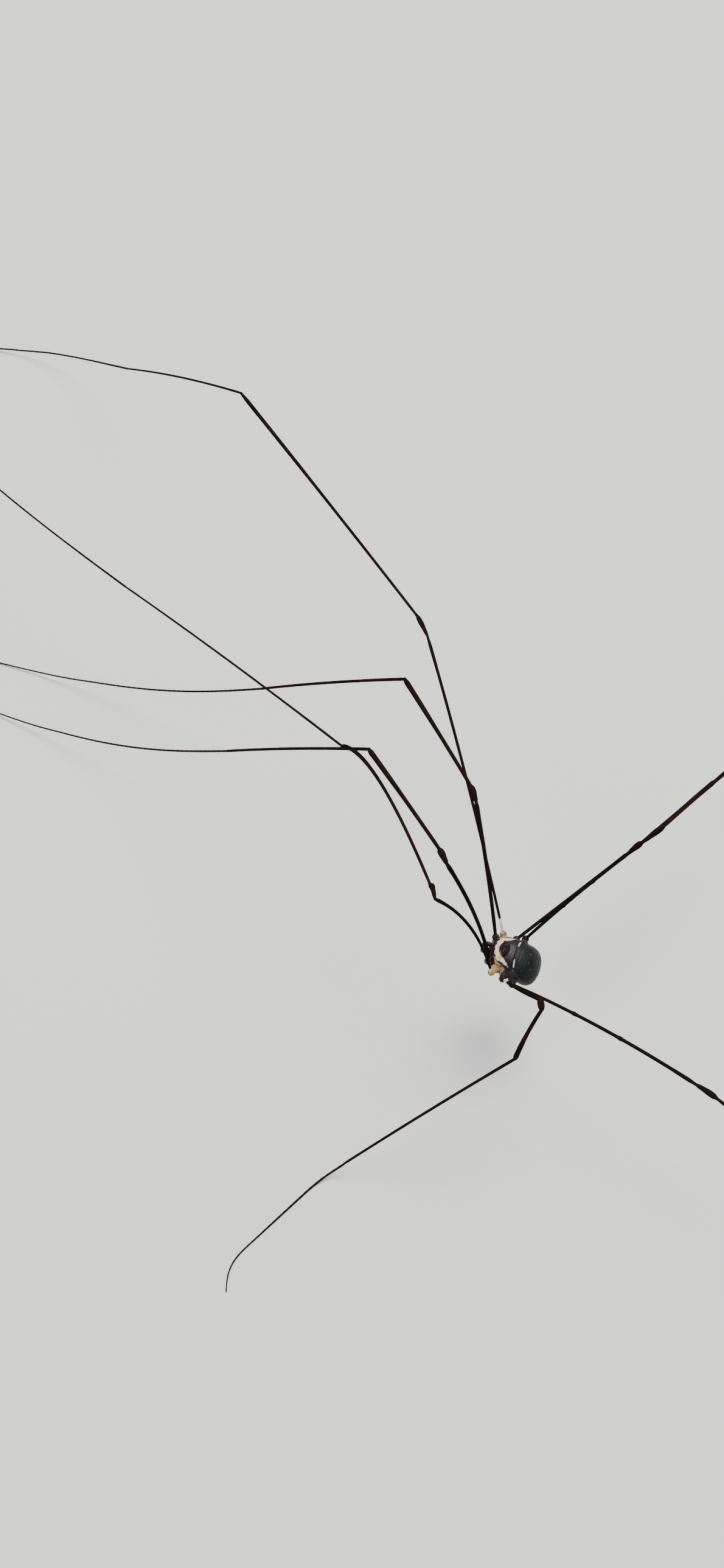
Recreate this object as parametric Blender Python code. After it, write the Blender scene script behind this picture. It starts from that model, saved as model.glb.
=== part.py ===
"""A long-legged tropical harvestman, life size, standing on the ends of its feet.

The head points to -Y, the left side to +X and up is +Z. Sizes below are in
millimetres and new_object writes them as metres. The origin is on the floor,
under the middle of the whole animal.
"""

import math

import bmesh
import bpy
import numpy as np
from mathutils import Matrix, Vector

MM = 0.001

# place of the body's middle over the leg frame, and how it is held
BODY_CENTRE = (0.1, -0.45, 10.0)
BODY_HEAD_UP_DEG = 24.0
BODY_LEAN_LEFT_DEG = 5.0

# clear gap where one piece meets the next
GAP = 0.25
EYE_GAP = 0.1

# head and trunk, in the body's own frame
WAIST_Y = 0.05
ABDOMEN_MIDDLE_Y = 0.75
ABDOMEN_REAR = 1.66
ABDOMEN_FRONT = 2.4
ABDOMEN_HALF_WIDTH = 1.81
ABDOMEN_TOP = 0.96
ABDOMEN_TAIL_RISE = 0.1
ABDOMEN_UNDERSIDE = 0.05
BELLY_DROP = 0.9
BELLY_START_Y = 1.05
BELLY_RAMP = 0.35
GROOVE_YS = (0.75, 1.2, 1.65)
GROOVE_DEPTH = 0.03
GROOVE_WIDTH = 0.1

HEAD_LENGTH = 2.45
HEAD_HALF_WIDTH = 1.72
HEAD_POWER = 1.7
HEAD_TOP_BACK = 1.05
HEAD_TOP_FRONT = 0.35
HEAD_UNDERSIDE = -0.1

STERNUM_HALF_WIDTH = 0.5
STERNUM_FRONT_Y = -2.1
STERNUM_BACK_Y = 1.15
STERNUM_STEP_Y = -0.45
STERNUM_BOTTOM = -0.95
STERNUM_TOP_BACK = -0.32
STERNUM_TOP_FRONT = 0.2

EYE_MOUND_CENTRE = (0.0, -1.5, 0.68)
EYE_MOUND_SIZE = (0.58, 0.34, 0.4)
EYE_RADIUS = 0.17
EYE_CENTRE = (0.46, -1.56, 0.88)

# mouth parts: centreline points and radii
CHELICERA_PATH = (
    (0.27, -2.36, -0.4),
    (0.27, -2.7, -0.3),
    (0.26, -2.92, -0.56),
    (0.24, -2.8, -0.9),
    (0.2, -2.58, -1.2),
)
CHELICERA_RADII = (0.2, 0.22, 0.23, 0.2, 0.09)
PEDIPALP_PATH = (
    (0.72, -2.1, -1.0),
    (0.76, -2.16, -1.27),
    (0.75, -1.98, -1.54),
    (0.7, -1.66, -1.76),
    (0.64, -1.3, -1.94),
    (0.58, -0.95, -2.08),
)
PEDIPALP_RADII = (0.19, 0.22, 0.22, 0.21, 0.18, 0.1)

# legs, numbered from the front: lengths of the segments
FEMUR_LENGTH = {1: 12.4, 2: 27.4, 3: 12.6, 4: 18.6}
PATELLA_LENGTH = {1: 1.5, 2: 2.0, 3: 1.5, 4: 2.0}
TIBIA_LENGTH = {1: 12.2, 2: 28.0, 3: 11.0, 4: 15.5}
METATARSUS_LENGTH = {1: 18.5, 2: 31.0, 3: 17.4, 4: 24.0}
TARSUS_LENGTH = {1: 38.0, 2: 50.0, 3: 15.7, 4: 34.0}

# leg roots on the left side; the right side mirrors them
COXA_ROOT = {
    1: (0.86, -1.84, -0.52),
    2: (0.78, -1.12, -0.62),
    3: (0.78, -0.36, -0.64),
    4: (0.78, 0.42, -0.64),
}
TROCHANTER = {
    1: (1.1, -2.25, -0.15),
    2: (1.8, -1.55, -0.45),
    3: (2.05, -0.38, -0.5),
    4: (2.2, 0.5, -0.55),
}
# how far single legs are swung at their roots, in the same frame
HIP_SHIFT = {
    "left_2": (0.2, -0.07, -0.05),
    "left_3": (0.08, -0.1, 0.0),
    "right_3": (-0.1, 0.1, -0.05),
    "right_4": (0.15, 0.0, 0.05),
}
COXA_RADIUS = 0.3
COXA_SWELL = 1.12
COXA_SIDES = 10
TROCHANTER_RADIUS = 0.33

# radii of the leg segments, near end and far end
FEMUR_RADII = (0.25, 0.26)
PATELLA_RADII = (0.27, 0.33)
TIBIA_RADII = (0.25, 0.3)
METATARSUS_RADII = (0.25, 0.25)
TARSUS_RADII = (0.25, 0.14)
TARSUS_TAPER_START = 0.7
NODULE_AT = (0.35, 0.6)
NODULE_SWELL = 1.3
NODULE_HALF_LENGTH = 0.35
LEG_SIDES = 8

# Pose of each leg. Every pair is (azimuth, elevation) in degrees: azimuth is
# turned outwards from straight ahead, and elevation is above the horizontal.
# toe is the azimuth of the foot on the floor and curl its last turn.
# bow is how far the femur, patella and tibia arch, as a share of their length.
POSE = {
    "left_1": {
        "femur": (-13.5, 69.5), "patella": (-53.5, 2.5), "tibia": (-47.0, -2.0),
        "metatarsus": (-16.6, -35.2), "toe": -12.0, "curl": 0.0, "bow": (0.045, 0.03, 0.01),
    },
    "right_1": {
        "femur": (62.0, 52.5), "patella": (61.0, 7.0), "tibia": (48.5, 5.0),
        "metatarsus": (15.0, -35.5), "toe": 4.0, "curl": 0.0, "bow": (0.045, 0.03, 0.01),
    },
    "left_2": {
        "femur": (73.2, 67.4), "patella": (-67.0, -27.0), "tibia": (-59.0, -29.0),
        "metatarsus": (-34.0, -10.5), "toe": -38.5, "curl": 0.0, "bow": (0.035, 0.2, 0.105),
    },
    "right_2": {
        "femur": (61.0, 24.0), "patella": (49.0, 19.0), "tibia": (40.0, 11.0),
        "metatarsus": (44.5, -36.0), "toe": -11.5, "curl": 0.0, "bow": (0.045, 0.03, 0.005),
    },
    "left_3": {
        "femur": (120.9, 49.9), "patella": (109.5, 23.0), "tibia": (-30.5, -78.0),
        "metatarsus": (36.0, -26.5), "toe": 60.0, "curl": 44.0, "bow": (-0.012, 0.22, 0.01),
    },
    "right_3": {
        "femur": (130.0, 12.4), "patella": (126.5, 6.0), "tibia": (118.0, -10.0),
        "metatarsus": (107.0, -32.0), "toe": 92.0, "curl": 0.0, "bow": (0.0, 0.03, 0.0),
    },
    "left_4": {
        "femur": (157.0, 7.5), "patella": (166.0, -19.5), "tibia": (152.0, -5.5),
        "metatarsus": (158.0, -20.5), "toe": 165.0, "curl": 0.0, "bow": (0.04, 0.03, 0.01),
    },
    "right_4": {
        "femur": (172.4, 61.5), "patella": (133.0, 17.5), "tibia": (114.0, -18.0),
        "metatarsus": (135.0, -50.0), "toe": 130.0, "curl": 0.0, "bow": (0.01, 0.03, 0.01),
    },
}
# share of the foot where its last turn begins
CURL_FROM = 0.7
# this leg is held up as a feeler, and its foot ends at this elevation
RAISED = {"left_2": -4.0}

BLACK_LEG = (0.018, 0.016, 0.014)
SLATE = (0.05, 0.055, 0.065)
BROWN = (0.16, 0.08, 0.04)
TAN = (0.45, 0.3, 0.16)


def clear_scene():
    for obj in list(bpy.data.objects):
        bpy.data.objects.remove(obj, do_unlink=True)


def material(name, colour, roughness):
    mat = bpy.data.materials.new(name)
    mat.use_nodes = True
    shader = mat.node_tree.nodes["Principled BSDF"]
    shader.inputs["Base Color"].default_value = (*colour, 1.0)
    shader.inputs["Roughness"].default_value = roughness
    shader.inputs["Metallic"].default_value = 0.0
    return mat


def smoothstep(x):
    x = min(1.0, max(0.0, x))
    return x * x * (3.0 - 2.0 * x)


def direction(azimuth, elevation, side):
    """Unit vector of a leg segment; side is +1 on the left and -1 on the right."""
    az = math.radians(azimuth)
    el = math.radians(elevation)
    flat = math.cos(el)
    return Vector((side * math.sin(az) * flat, -math.cos(az) * flat, math.sin(el)))


def mesh_from_rings(name, rings):
    """Closed skin over rings of points, each ring turning the same way."""
    count = len(rings[0])
    verts = [Vector(p) * MM for ring in rings for p in ring]
    faces = []
    for i in range(len(rings) - 1):
        a = i * count
        b = a + count
        for j in range(count):
            k = (j + 1) % count
            faces.append((a + j, a + k, b + k, b + j))
    faces.append(tuple(reversed(range(count))))
    faces.append(tuple(range((len(rings) - 1) * count, len(rings) * count)))
    mesh = bpy.data.meshes.new(name)
    mesh.from_pydata(verts, [], faces)
    bm = bmesh.new()
    bm.from_mesh(mesh)
    bmesh.ops.recalc_face_normals(bm, faces=bm.faces)
    bm.to_mesh(mesh)
    bm.free()
    return mesh


def new_object(name, mesh, mat, parent):
    obj = bpy.data.objects.new(name, mesh)
    bpy.context.scene.collection.objects.link(obj)
    mesh.materials.clear()
    mesh.materials.append(mat)
    mesh.shade_smooth()
    mesh.set_sharp_from_angle(angle=math.radians(50))
    obj.parent = parent
    return obj


def tube_rings(points, radii, sides, start_normal=None, end_normal=None):
    """Rings along a centreline. Inner rings halve each bend, and the two end
    rings are cut along the planes whose normals are given."""
    pts = [Vector(p) for p in points]
    steps = [(b - a).normalized() for a, b in zip(pts[:-1], pts[1:])]
    rings = []
    for i, centre in enumerate(pts):
        if i == 0:
            along = steps[0]
            normal = start_normal or along
        elif i == len(pts) - 1:
            along = steps[-1]
            normal = end_normal or along
        else:
            along = steps[i]
            normal = (steps[i - 1] + steps[i]).normalized()
        across = along.cross(Vector((0.0, 0.0, 1.0))).normalized()
        upward = across.cross(along).normalized()
        ring = []
        for k in range(sides):
            turn = 2.0 * math.pi * (k + 0.5) / sides
            spoke = (across * math.cos(turn) + upward * math.sin(turn)) * radii[i]
            spoke -= along * (spoke.dot(normal) / along.dot(normal))
            ring.append(centre + spoke)
        rings.append(ring)
    return rings


def arched(start, end, bow, count):
    """Points from start to end on a line that arches upwards by bow * length."""
    chord = end - start
    along = chord.normalized()
    across = along.cross(Vector((0.0, 0.0, 1.0))).normalized()
    upward = across.cross(along)
    points = []
    for i in range(count + 1):
        t = i / count
        rise = 4.0 * t * (1.0 - t) * bow * chord.length
        points.append(start + chord * t + upward * rise)
    return points


def super_ring(y, half_width, top, bottom, power, count):
    """A rounded cross-section of the body, standing across it at y."""
    ring = []
    middle = 0.5 * (top + bottom)
    half_height = 0.5 * (top - bottom)
    for k in range(count):
        turn = 2.0 * math.pi * (k + 0.5) / count
        c = math.cos(turn)
        s = math.sin(turn)
        x = half_width * math.copysign(abs(c) ** power, c)
        z = middle + half_height * math.copysign(abs(s) ** power, s)
        ring.append((x, y, z))
    return ring


def abdomen_mesh():
    """Domed shield with cross grooves, its belly dropping behind the last legs."""
    rings = []
    stations = 20
    for i in range(stations + 1):
        ease = math.sin(0.5 * math.pi * i / stations)
        y = WAIST_Y + (ABDOMEN_MIDDLE_Y + ABDOMEN_REAR * 0.997 - WAIST_Y) * ease
        reach = ABDOMEN_REAR if y > ABDOMEN_MIDDLE_Y else ABDOMEN_FRONT
        t = abs(y - ABDOMEN_MIDDLE_Y) / reach
        width = ABDOMEN_HALF_WIDTH * (1.0 - t ** 2.4) ** (1.0 / 2.4)
        rise = (1.0 - t ** 2.0) ** 0.5
        groove = sum(math.exp(-(((y - g) / GROOVE_WIDTH) ** 2)) for g in GROOVE_YS)
        shrink = 1.0 - GROOVE_DEPTH * groove
        middle = ABDOMEN_TAIL_RISE * (1.0 - rise)
        belly = BELLY_DROP * smoothstep((y - BELLY_START_Y) / BELLY_RAMP)
        top = middle + ABDOMEN_TOP * rise * shrink
        bottom = middle - (ABDOMEN_UNDERSIDE + belly) * rise
        rings.append(super_ring(y, width * shrink, top, bottom, 0.85, 24))
    return mesh_from_rings("abdomen", rings)


def head_mesh():
    rings = []
    stations = 12
    back_y = WAIST_Y - GAP
    for i in range(stations + 1):
        t = math.sin(0.5 * math.pi * i / stations) * 0.995
        y = back_y - HEAD_LENGTH * t
        width = HEAD_HALF_WIDTH * (1.0 - t ** HEAD_POWER) ** (1.0 / HEAD_POWER)
        top = HEAD_TOP_FRONT + (HEAD_TOP_BACK - HEAD_TOP_FRONT) * (1.0 - t) ** 1.2
        rings.append(super_ring(y, width, top, HEAD_UNDERSIDE, 0.8, 24))
    return mesh_from_rings("prosoma", rings)


def sternum_mesh():
    """Flat-sided keel between the leg roots, lower under the abdomen."""
    rings = []
    ys = (STERNUM_FRONT_Y, STERNUM_FRONT_Y + 0.2, STERNUM_STEP_Y - 0.1,
          STERNUM_STEP_Y + 0.1, STERNUM_BACK_Y - 0.2, STERNUM_BACK_Y)
    for i, y in enumerate(ys):
        top = STERNUM_TOP_FRONT if y < STERNUM_STEP_Y else STERNUM_TOP_BACK
        end = i in (0, len(ys) - 1)
        half = STERNUM_HALF_WIDTH * (0.75 if end else 1.0)
        bottom = STERNUM_BOTTOM + (0.15 if end else 0.0)
        rings.append(super_ring(y, half, top, bottom, 0.45, 12))
    return mesh_from_rings("sternum", rings)


def ball_mesh(name, centre, size, segments, rows):
    mesh = bpy.data.meshes.new(name)
    bm = bmesh.new()
    bmesh.ops.create_uvsphere(bm, u_segments=segments, v_segments=rows, radius=MM)
    for vert in bm.verts:
        vert.co = Vector([vert.co[k] * size[k] + centre[k] * MM for k in range(3)])
    bm.to_mesh(mesh)
    bm.free()
    return mesh


def boolean(obj, others, operation):
    """Applies one Boolean with a group of closed pieces, then removes them."""
    group = bpy.data.collections.new("pieces")
    bpy.context.scene.collection.children.link(group)
    for other in others:
        group.objects.link(other)
    modifier = obj.modifiers.new("join", "BOOLEAN")
    modifier.operation = operation
    modifier.operand_type = "COLLECTION"
    modifier.collection = group
    modifier.solver = "EXACT"
    graph = bpy.context.evaluated_depsgraph_get()
    result = bpy.data.meshes.new_from_object(obj.evaluated_get(graph))
    obj.modifiers.clear()
    obj.data = result
    for other in others:
        bpy.data.objects.remove(other, do_unlink=True)
    bpy.data.collections.remove(group)


def helper(name, mesh):
    obj = bpy.data.objects.new(name, mesh)
    bpy.context.scene.collection.objects.link(obj)
    return obj


def build_trunk(body, mats):
    """Abdomen, head with its eye mound and breastplate, eyes and mouth parts."""
    new_object("abdomen", abdomen_mesh(), mats["slate"], body)
    head = new_object("prosoma", head_mesh(), mats["brown"], body)
    mound = ball_mesh("eye_mound", EYE_MOUND_CENTRE, EYE_MOUND_SIZE, 16, 10)
    head.parent = None
    boolean(head, [helper("sternum", sternum_mesh()), helper("eye_mound", mound)], "UNION")
    sockets = []
    for side in (1, -1):
        centre = (side * EYE_CENTRE[0], EYE_CENTRE[1], EYE_CENTRE[2])
        room = EYE_RADIUS + EYE_GAP
        socket = ball_mesh("socket", centre, (room, room, room), 12, 8)
        sockets.append(helper("socket", socket))
    boolean(head, sockets, "DIFFERENCE")
    head.parent = body
    for side, word in ((1, "left"), (-1, "right")):
        centre = (side * EYE_CENTRE[0], EYE_CENTRE[1], EYE_CENTRE[2])
        size = (EYE_RADIUS, EYE_RADIUS, EYE_RADIUS)
        new_object(f"eye_{word}", ball_mesh("eye", centre, size, 12, 8), mats["black"], body)
        for part, path, radii in (
            ("chelicera", CHELICERA_PATH, CHELICERA_RADII),
            ("pedipalp", PEDIPALP_PATH, PEDIPALP_RADII),
        ):
            points = [(side * x, y, z) for x, y, z in path]
            rings = tube_rings(points, radii, LEG_SIDES)
            new_object(f"{part}_{word}", mesh_from_rings(part, rings), mats["tan"], body)


def body_matrix(unit):
    """Place and attitude of the body, with its lengths multiplied by unit."""
    place = Matrix.Translation(Vector(BODY_CENTRE) * unit)
    head_up = Matrix.Rotation(math.radians(-BODY_HEAD_UP_DEG), 4, "X")
    lean = Matrix.Rotation(math.radians(BODY_LEAN_LEFT_DEG), 4, "Y")
    return place @ head_up @ lean


def foot_path(start, first, toe, curl, length, side, raised):
    """Centreline of a foot. It leaves the shin in direction first, levels out so
    that its end lies on the floor, and turns to the azimuth toe, then by curl."""
    steps = 24
    rest_height = TARSUS_RADII[0] * math.cos(math.pi / LEG_SIDES)
    last_elevation = 0.0 if raised is None else raised

    def path(share):
        points = [start.copy()]
        for i in range(steps):
            s = (i + 0.5) / steps
            w = smoothstep(s / share)
            turned = curl * smoothstep((s - CURL_FROM) / (1.0 - CURL_FROM))
            azimuth = first[0] + (toe - first[0]) * w + turned
            elevation = first[1] + (last_elevation - first[1]) * w
            points.append(points[-1] + direction(azimuth, elevation, side) * (length / steps))
        return points

    if raised is not None:
        return path(1.0)
    low = 0.02
    high = 1.0
    for _ in range(40):
        middle = 0.5 * (low + high)
        if path(middle)[-1].z > rest_height:
            low = middle
        else:
            high = middle
    return path(low)


def segment(name, points, radii, normals, mat, parent):
    """One leg segment, drawn back from the joint at each end by half the gap."""
    pts = [Vector(p) for p in points]
    first = (pts[1] - pts[0]).normalized()
    last = (pts[-1] - pts[-2]).normalized()
    start_normal, end_normal = normals
    if start_normal is not None:
        pts[0] = pts[0] + first * (0.5 * GAP / first.dot(start_normal))
    if end_normal is not None:
        pts[-1] = pts[-1] - last * (0.5 * GAP / last.dot(end_normal))
    rings = tube_rings(pts, radii, LEG_SIDES, start_normal, end_normal)
    for ring in rings:
        for point in ring:
            point.z = max(point.z, 0.0)
    return new_object(name, mesh_from_rings(name, rings), mat, parent)


def blend(a, b, count):
    return [a + (b - a) * i / count for i in range(count + 1)]


def femur_radii(count, nodules, length):
    radii = blend(*FEMUR_RADII, count)
    if nodules:
        for i in range(count + 1):
            near = min(abs(i / count - at) for at in NODULE_AT) * length
            swell = 1.0 + (NODULE_SWELL - 1.0) * max(0.0, 1.0 - near / NODULE_HALF_LENGTH)
            radii[i] *= swell
    return radii


def build_leg(name, mats, root, frame):
    side = 1 if name.startswith("left") else -1
    number = int(name[-1])
    pose = POSE[name]
    swung = Vector(TROCHANTER[number]) + Vector(HIP_SHIFT.get(name, (0.0, 0.0, 0.0)))
    hip = frame @ Vector((side * swung.x, swung.y, swung.z))
    base = frame @ Vector((side * COXA_ROOT[number][0], *COXA_ROOT[number][1:]))

    ways = {k: direction(*pose[k], side) for k in ("femur", "patella", "tibia", "metatarsus")}
    knee = hip + ways["femur"] * FEMUR_LENGTH[number]
    patella_end = knee + ways["patella"] * PATELLA_LENGTH[number]
    ankle = patella_end + ways["tibia"] * TIBIA_LENGTH[number]
    heel = ankle + ways["metatarsus"] * METATARSUS_LENGTH[number]
    femur_line = arched(hip, knee, pose["bow"][0], 10)
    patella_line = arched(knee, patella_end, pose["bow"][1], 2)
    tibia_line = arched(patella_end, ankle, pose["bow"][2], 8)
    shin_line = arched(ankle, heel, 0.01, 6)
    foot_line = foot_path(
        heel, pose["metatarsus"], pose["toe"], pose["curl"],
        TARSUS_LENGTH[number], side, RAISED.get(name),
    )

    def halfway(a, b):
        return ((a[-1] - a[-2]).normalized() + (b[1] - b[0]).normalized()).normalized()

    lines = [femur_line, patella_line, tibia_line, shin_line, foot_line]
    cuts = [halfway(a, b) for a, b in zip(lines[:-1], lines[1:])]

    # coxa with the globular trochanter at its end
    out = (femur_line[1] - femur_line[0]).normalized()
    side_way = (frame.to_3x3() @ Vector((side, 0.0, 0.0))) if number > 1 else None
    points = [base, base.lerp(hip, 0.35), base.lerp(hip, 0.7), hip]
    radii = [COXA_RADIUS, COXA_RADIUS * COXA_SWELL, COXA_RADIUS, COXA_RADIUS * 0.8]
    rings = tube_rings(points, radii, COXA_SIDES, start_normal=side_way)
    coxa = new_object(f"{name}_coxa", mesh_from_rings("coxa", rings), mats["brown"], None)
    size = (TROCHANTER_RADIUS,) * 3
    boolean(coxa, [helper("ball", ball_mesh("trochanter", hip, size, 12, 8))], "UNION")
    coxa.parent = root

    # the femur starts clear of the trochanter
    femur_line[0] = hip + out * (TROCHANTER_RADIUS + GAP)
    start = [None, *cuts]
    end = [*cuts, None]
    sections = (
        ("femur", femur_line, femur_radii(10, number == 4, FEMUR_LENGTH[number])),
        ("patella", patella_line, blend(*PATELLA_RADII, 2)),
        ("tibia", tibia_line, blend(*TIBIA_RADII, 8)),
        ("metatarsus", shin_line, blend(*METATARSUS_RADII, 6)),
        ("tarsus", foot_line, tarsus_radii(len(foot_line))),
    )
    for i, (part, line, radii) in enumerate(sections):
        if part == "tarsus":
            line = lowered(line, radii, RAISED.get(name) is None)
        segment(f"{name}_{part}", line, radii, (start[i], end[i]), mats["black"], root)


def tarsus_radii(count):
    radii = []
    for i in range(count):
        share = (i / (count - 1) - TARSUS_TAPER_START) / (1.0 - TARSUS_TAPER_START)
        taper = max(0.0, share)
        radii.append(TARSUS_RADII[0] + (TARSUS_RADII[1] - TARSUS_RADII[0]) * taper)
    return radii


def lowered(line, radii, on_floor):
    """Keeps the underside of a standing foot's thin end level on the floor."""
    if not on_floor:
        return line
    flat = math.cos(math.pi / LEG_SIDES)
    rest = TARSUS_RADII[0] * flat
    result = []
    for point, radius in zip(line, radii):
        shift = (TARSUS_RADII[0] - radius) * flat
        close = smoothstep(1.5 - (point.z - rest))
        result.append(point - Vector((0.0, 0.0, shift * close)))
    return result


def centre_on_floor(root):
    """Puts the middle of the whole animal's footprint over the origin."""
    bpy.context.view_layer.update()
    low = np.full(3, np.inf)
    high = np.full(3, -np.inf)
    for obj in bpy.data.objects:
        if obj.type == "MESH":
            for vert in obj.data.vertices:
                place = np.array(obj.matrix_world @ vert.co)
                low = np.minimum(low, place)
                high = np.maximum(high, place)
    middle = 0.5 * (low + high)
    root.location = (-middle[0], -middle[1], 0.0)


def main():
    clear_scene()
    mats = {
        "slate": material("slate_shield", SLATE, 0.55),
        "brown": material("brown_body", BROWN, 0.6),
        "tan": material("tan_mouthparts", TAN, 0.5),
        "black": material("black_leg", BLACK_LEG, 0.4),
    }
    root = bpy.data.objects.new("harvestman", None)
    body = bpy.data.objects.new("harvestman_body", None)
    for empty in (root, body):
        bpy.context.scene.collection.objects.link(empty)
    frame = body_matrix(1.0)
    body.parent = root
    body.matrix_local = body_matrix(MM)
    build_trunk(body, mats)
    for name in POSE:
        build_leg(name, mats, root, frame)
    centre_on_floor(root)
    bpy.context.view_layer.update()


main()
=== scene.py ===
"""Looks of the long-legged harvestman: skin, colours, floor, light and camera.

Lengths are in millimetres in the animal's own frame until placed() turns
them into metres in the shared frame. The head points to -Y and the left is
+X. Body millimetres are measured along the tilted body itself.
"""

import math
import random
from types import SimpleNamespace

import bmesh
import bpy
import numpy as np
from mathutils import Matrix, Vector, noise


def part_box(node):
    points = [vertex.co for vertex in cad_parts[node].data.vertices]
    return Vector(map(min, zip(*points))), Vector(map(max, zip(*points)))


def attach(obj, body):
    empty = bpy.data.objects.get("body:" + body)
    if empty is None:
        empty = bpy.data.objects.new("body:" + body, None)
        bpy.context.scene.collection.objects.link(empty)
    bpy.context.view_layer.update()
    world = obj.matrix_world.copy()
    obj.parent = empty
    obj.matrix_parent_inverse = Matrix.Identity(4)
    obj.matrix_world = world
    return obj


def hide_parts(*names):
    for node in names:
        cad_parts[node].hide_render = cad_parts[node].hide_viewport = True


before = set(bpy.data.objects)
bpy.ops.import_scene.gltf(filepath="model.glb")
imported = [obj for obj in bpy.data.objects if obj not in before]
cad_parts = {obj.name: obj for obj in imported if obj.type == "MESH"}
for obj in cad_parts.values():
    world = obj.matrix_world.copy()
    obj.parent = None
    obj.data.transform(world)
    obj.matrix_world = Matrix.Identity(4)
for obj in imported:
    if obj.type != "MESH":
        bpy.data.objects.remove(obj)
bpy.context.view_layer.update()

MM = 0.001
UP = Vector((0.0, 0.0, 1.0))
SEED = 41
rng = random.Random(SEED)

# how the body is held, as in the solids
BODY_CENTRE = (0.1, -0.45, 10.0)
BODY_HEAD_UP_DEG = 24.0
BODY_LEAN_LEFT_DEG = 5.0
EYE_CENTRE = (0.46, -1.56, 0.88)
EYE_RADIUS = 0.2

# trunk sections from front to rear: y, half width, top, widest level, underside
TRUNK = (
    (-2.42, 0.30, 0.12, -0.12, -0.42),
    (-2.33, 0.72, 0.30, -0.12, -0.60),
    (-2.05, 1.08, 0.46, -0.05, -0.78),
    (-1.60, 1.34, 0.60, 0.02, -0.92),
    (-1.10, 1.52, 0.76, 0.05, -0.98),
    (-0.50, 1.64, 0.90, 0.00, -0.98),
    (0.10, 1.72, 0.95, -0.16, -1.00),
    (0.70, 1.80, 0.93, -0.38, -1.08),
    (1.25, 1.83, 0.82, -0.50, -1.16),
    (1.72, 1.73, 0.62, -0.54, -1.14),
    (2.10, 1.46, 0.35, -0.54, -1.04),
    (2.34, 1.06, 0.05, -0.54, -0.90),
    (2.48, 0.52, -0.20, -0.54, -0.74),
)
TRUNK_SIDES = 72
TRUNK_STATIONS = 90
TOP_POWER = 2.15
UNDER_POWER = 2.5
CARAPACE_END_Y = -0.42
SCUTUM_GROOVES_Y = (0.02, 0.58, 1.08, 1.5, 1.85, 2.1)
# height of the line along the shield's edge, as (y, z)
SHIELD_EDGE = ((-0.4, 0.6), (0.1, 0.5), (0.7, 0.28), (1.2, 0.08), (1.7, -0.08), (2.2, -0.25))
PLATE_SCALLOPS = 14.0

# rounded forms on the trunk, as (centre, half sizes)
SCENT_GLAND = ((1.3, -1.35, 0.02), (0.22, 0.3, 0.2))
MOUTH_PLATE = ((0.4, -2.02, -0.78), (0.26, 0.3, 0.2))
EYE_LOBE = ((0.27, -1.43, 0.66), (0.4, 0.36, 0.37))
EYE_MOUND = ((0.0, -1.4, 0.62), (0.5, 0.4, 0.38))
BREASTPLATE = ((0.0, -0.5, -0.92), (0.52, 1.2, 0.2))
BELLY = ((0.0, 1.2, -0.86), (1.1, 0.9, 0.26))
EYE_MOUND_Y = -1.42

# size of the skin's cells, and how often it is smoothed
SKIN_VOXEL = 0.034
SKIN_SMOOTHING = 5

# roots of the legs by pair, numbered from the front, on the left side
COXA_ROOT = {
    1: (0.5, -1.75, -0.5),
    2: (0.5, -1.08, -0.58),
    3: (0.5, -0.36, -0.6),
    4: (0.5, 0.4, -0.6),
}
TROCHANTER = {
    1: (1.1, -2.25, -0.15),
    2: (1.8, -1.55, -0.45),
    3: (2.05, -0.38, -0.5),
    4: (2.2, 0.5, -0.55),
}
# how far single legs are swung at their roots
HIP_SHIFT = {
    "left_2": (0.2, -0.07, -0.05),
    "left_3": (0.08, -0.1, 0.0),
    "right_3": (-0.1, 0.1, -0.05),
    "right_4": (0.15, 0.0, 0.05),
}
TROCHANTER_RADIUS = 0.32
# radii of a coxa at these shares of the way to its trochanter
COXA_SHARES = (0.0, 0.35, 0.65, 0.88)
COXA_RADII = {
    1: (0.4, 0.44, 0.36, 0.22),
    2: (0.48, 0.62, 0.54, 0.32),
    3: (0.46, 0.6, 0.54, 0.33),
    4: (0.5, 0.62, 0.52, 0.32),
}
# the part of a coxa inside this many times its root's x is under the trunk
COXA_SHOWS_FROM = (2.0, 1.0, 1.0)

# marks and a painted highlight on the back of the left half, as (x, y), mirrored on the right
CREAM_BAND = ((0.0, -2.06), (0.45, -1.96), (0.9, -1.62), (1.1, -1.2), (1.3, -0.82), (1.46, -0.5))
# half width of the band at places along it, counted in its points
CREAM_PLACES = (0.0, 1.0, 1.8, 2.4, 3.1, 4.0, 4.5)
CREAM_HALF_WIDTHS = (0.1, 0.18, 0.27, 0.2, 0.12, 0.07, 0.0)
# pale streak along each front corner of the shield: a painted highlight of glare, mirrored on both sides
# like a marking
SHIELD_GLARE_STREAK = ((0.5, -0.4), (0.95, -0.3), (1.35, -0.17), (1.62, 0.02))
GLARE_STREAK_PLACES = (0.0, 0.6, 1.6, 3.0)
GLARE_STREAK_TAPER = (0.2, 1.0, 1.0, 0.1)
PALE_SPOTS = ((1.25, 0.6), (0.85, 1.28), (0.42, 0.9))
MAROON_PATCH = ((0.5, -1.3), (0.85, -1.02), (1.1, -0.66))
MAROON_STREAK = ((0.95, -2.0, 0.05), (1.25, -1.5, 0.05), (1.5, -0.9, 0.1))
# how much of the tan each pair of coxae loses
TAN_LOST = {3: 0.3, 4: 1.0}

# mouth parts: centreline points and radii
MOUTH_SIDES = 20
CHELICERA_PATH = (
    (0.27, -2.1, -0.35),
    (0.27, -2.45, -0.28),
    (0.27, -2.7, -0.32),
    (0.26, -2.88, -0.56),
    (0.24, -2.8, -0.86),
    (0.2, -2.66, -1.04),
)
CHELICERA_RADII = (0.2, 0.21, 0.22, 0.23, 0.21, 0.12)
PINCER_ROOT = (0.2, -2.66, -1.06)
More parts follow.
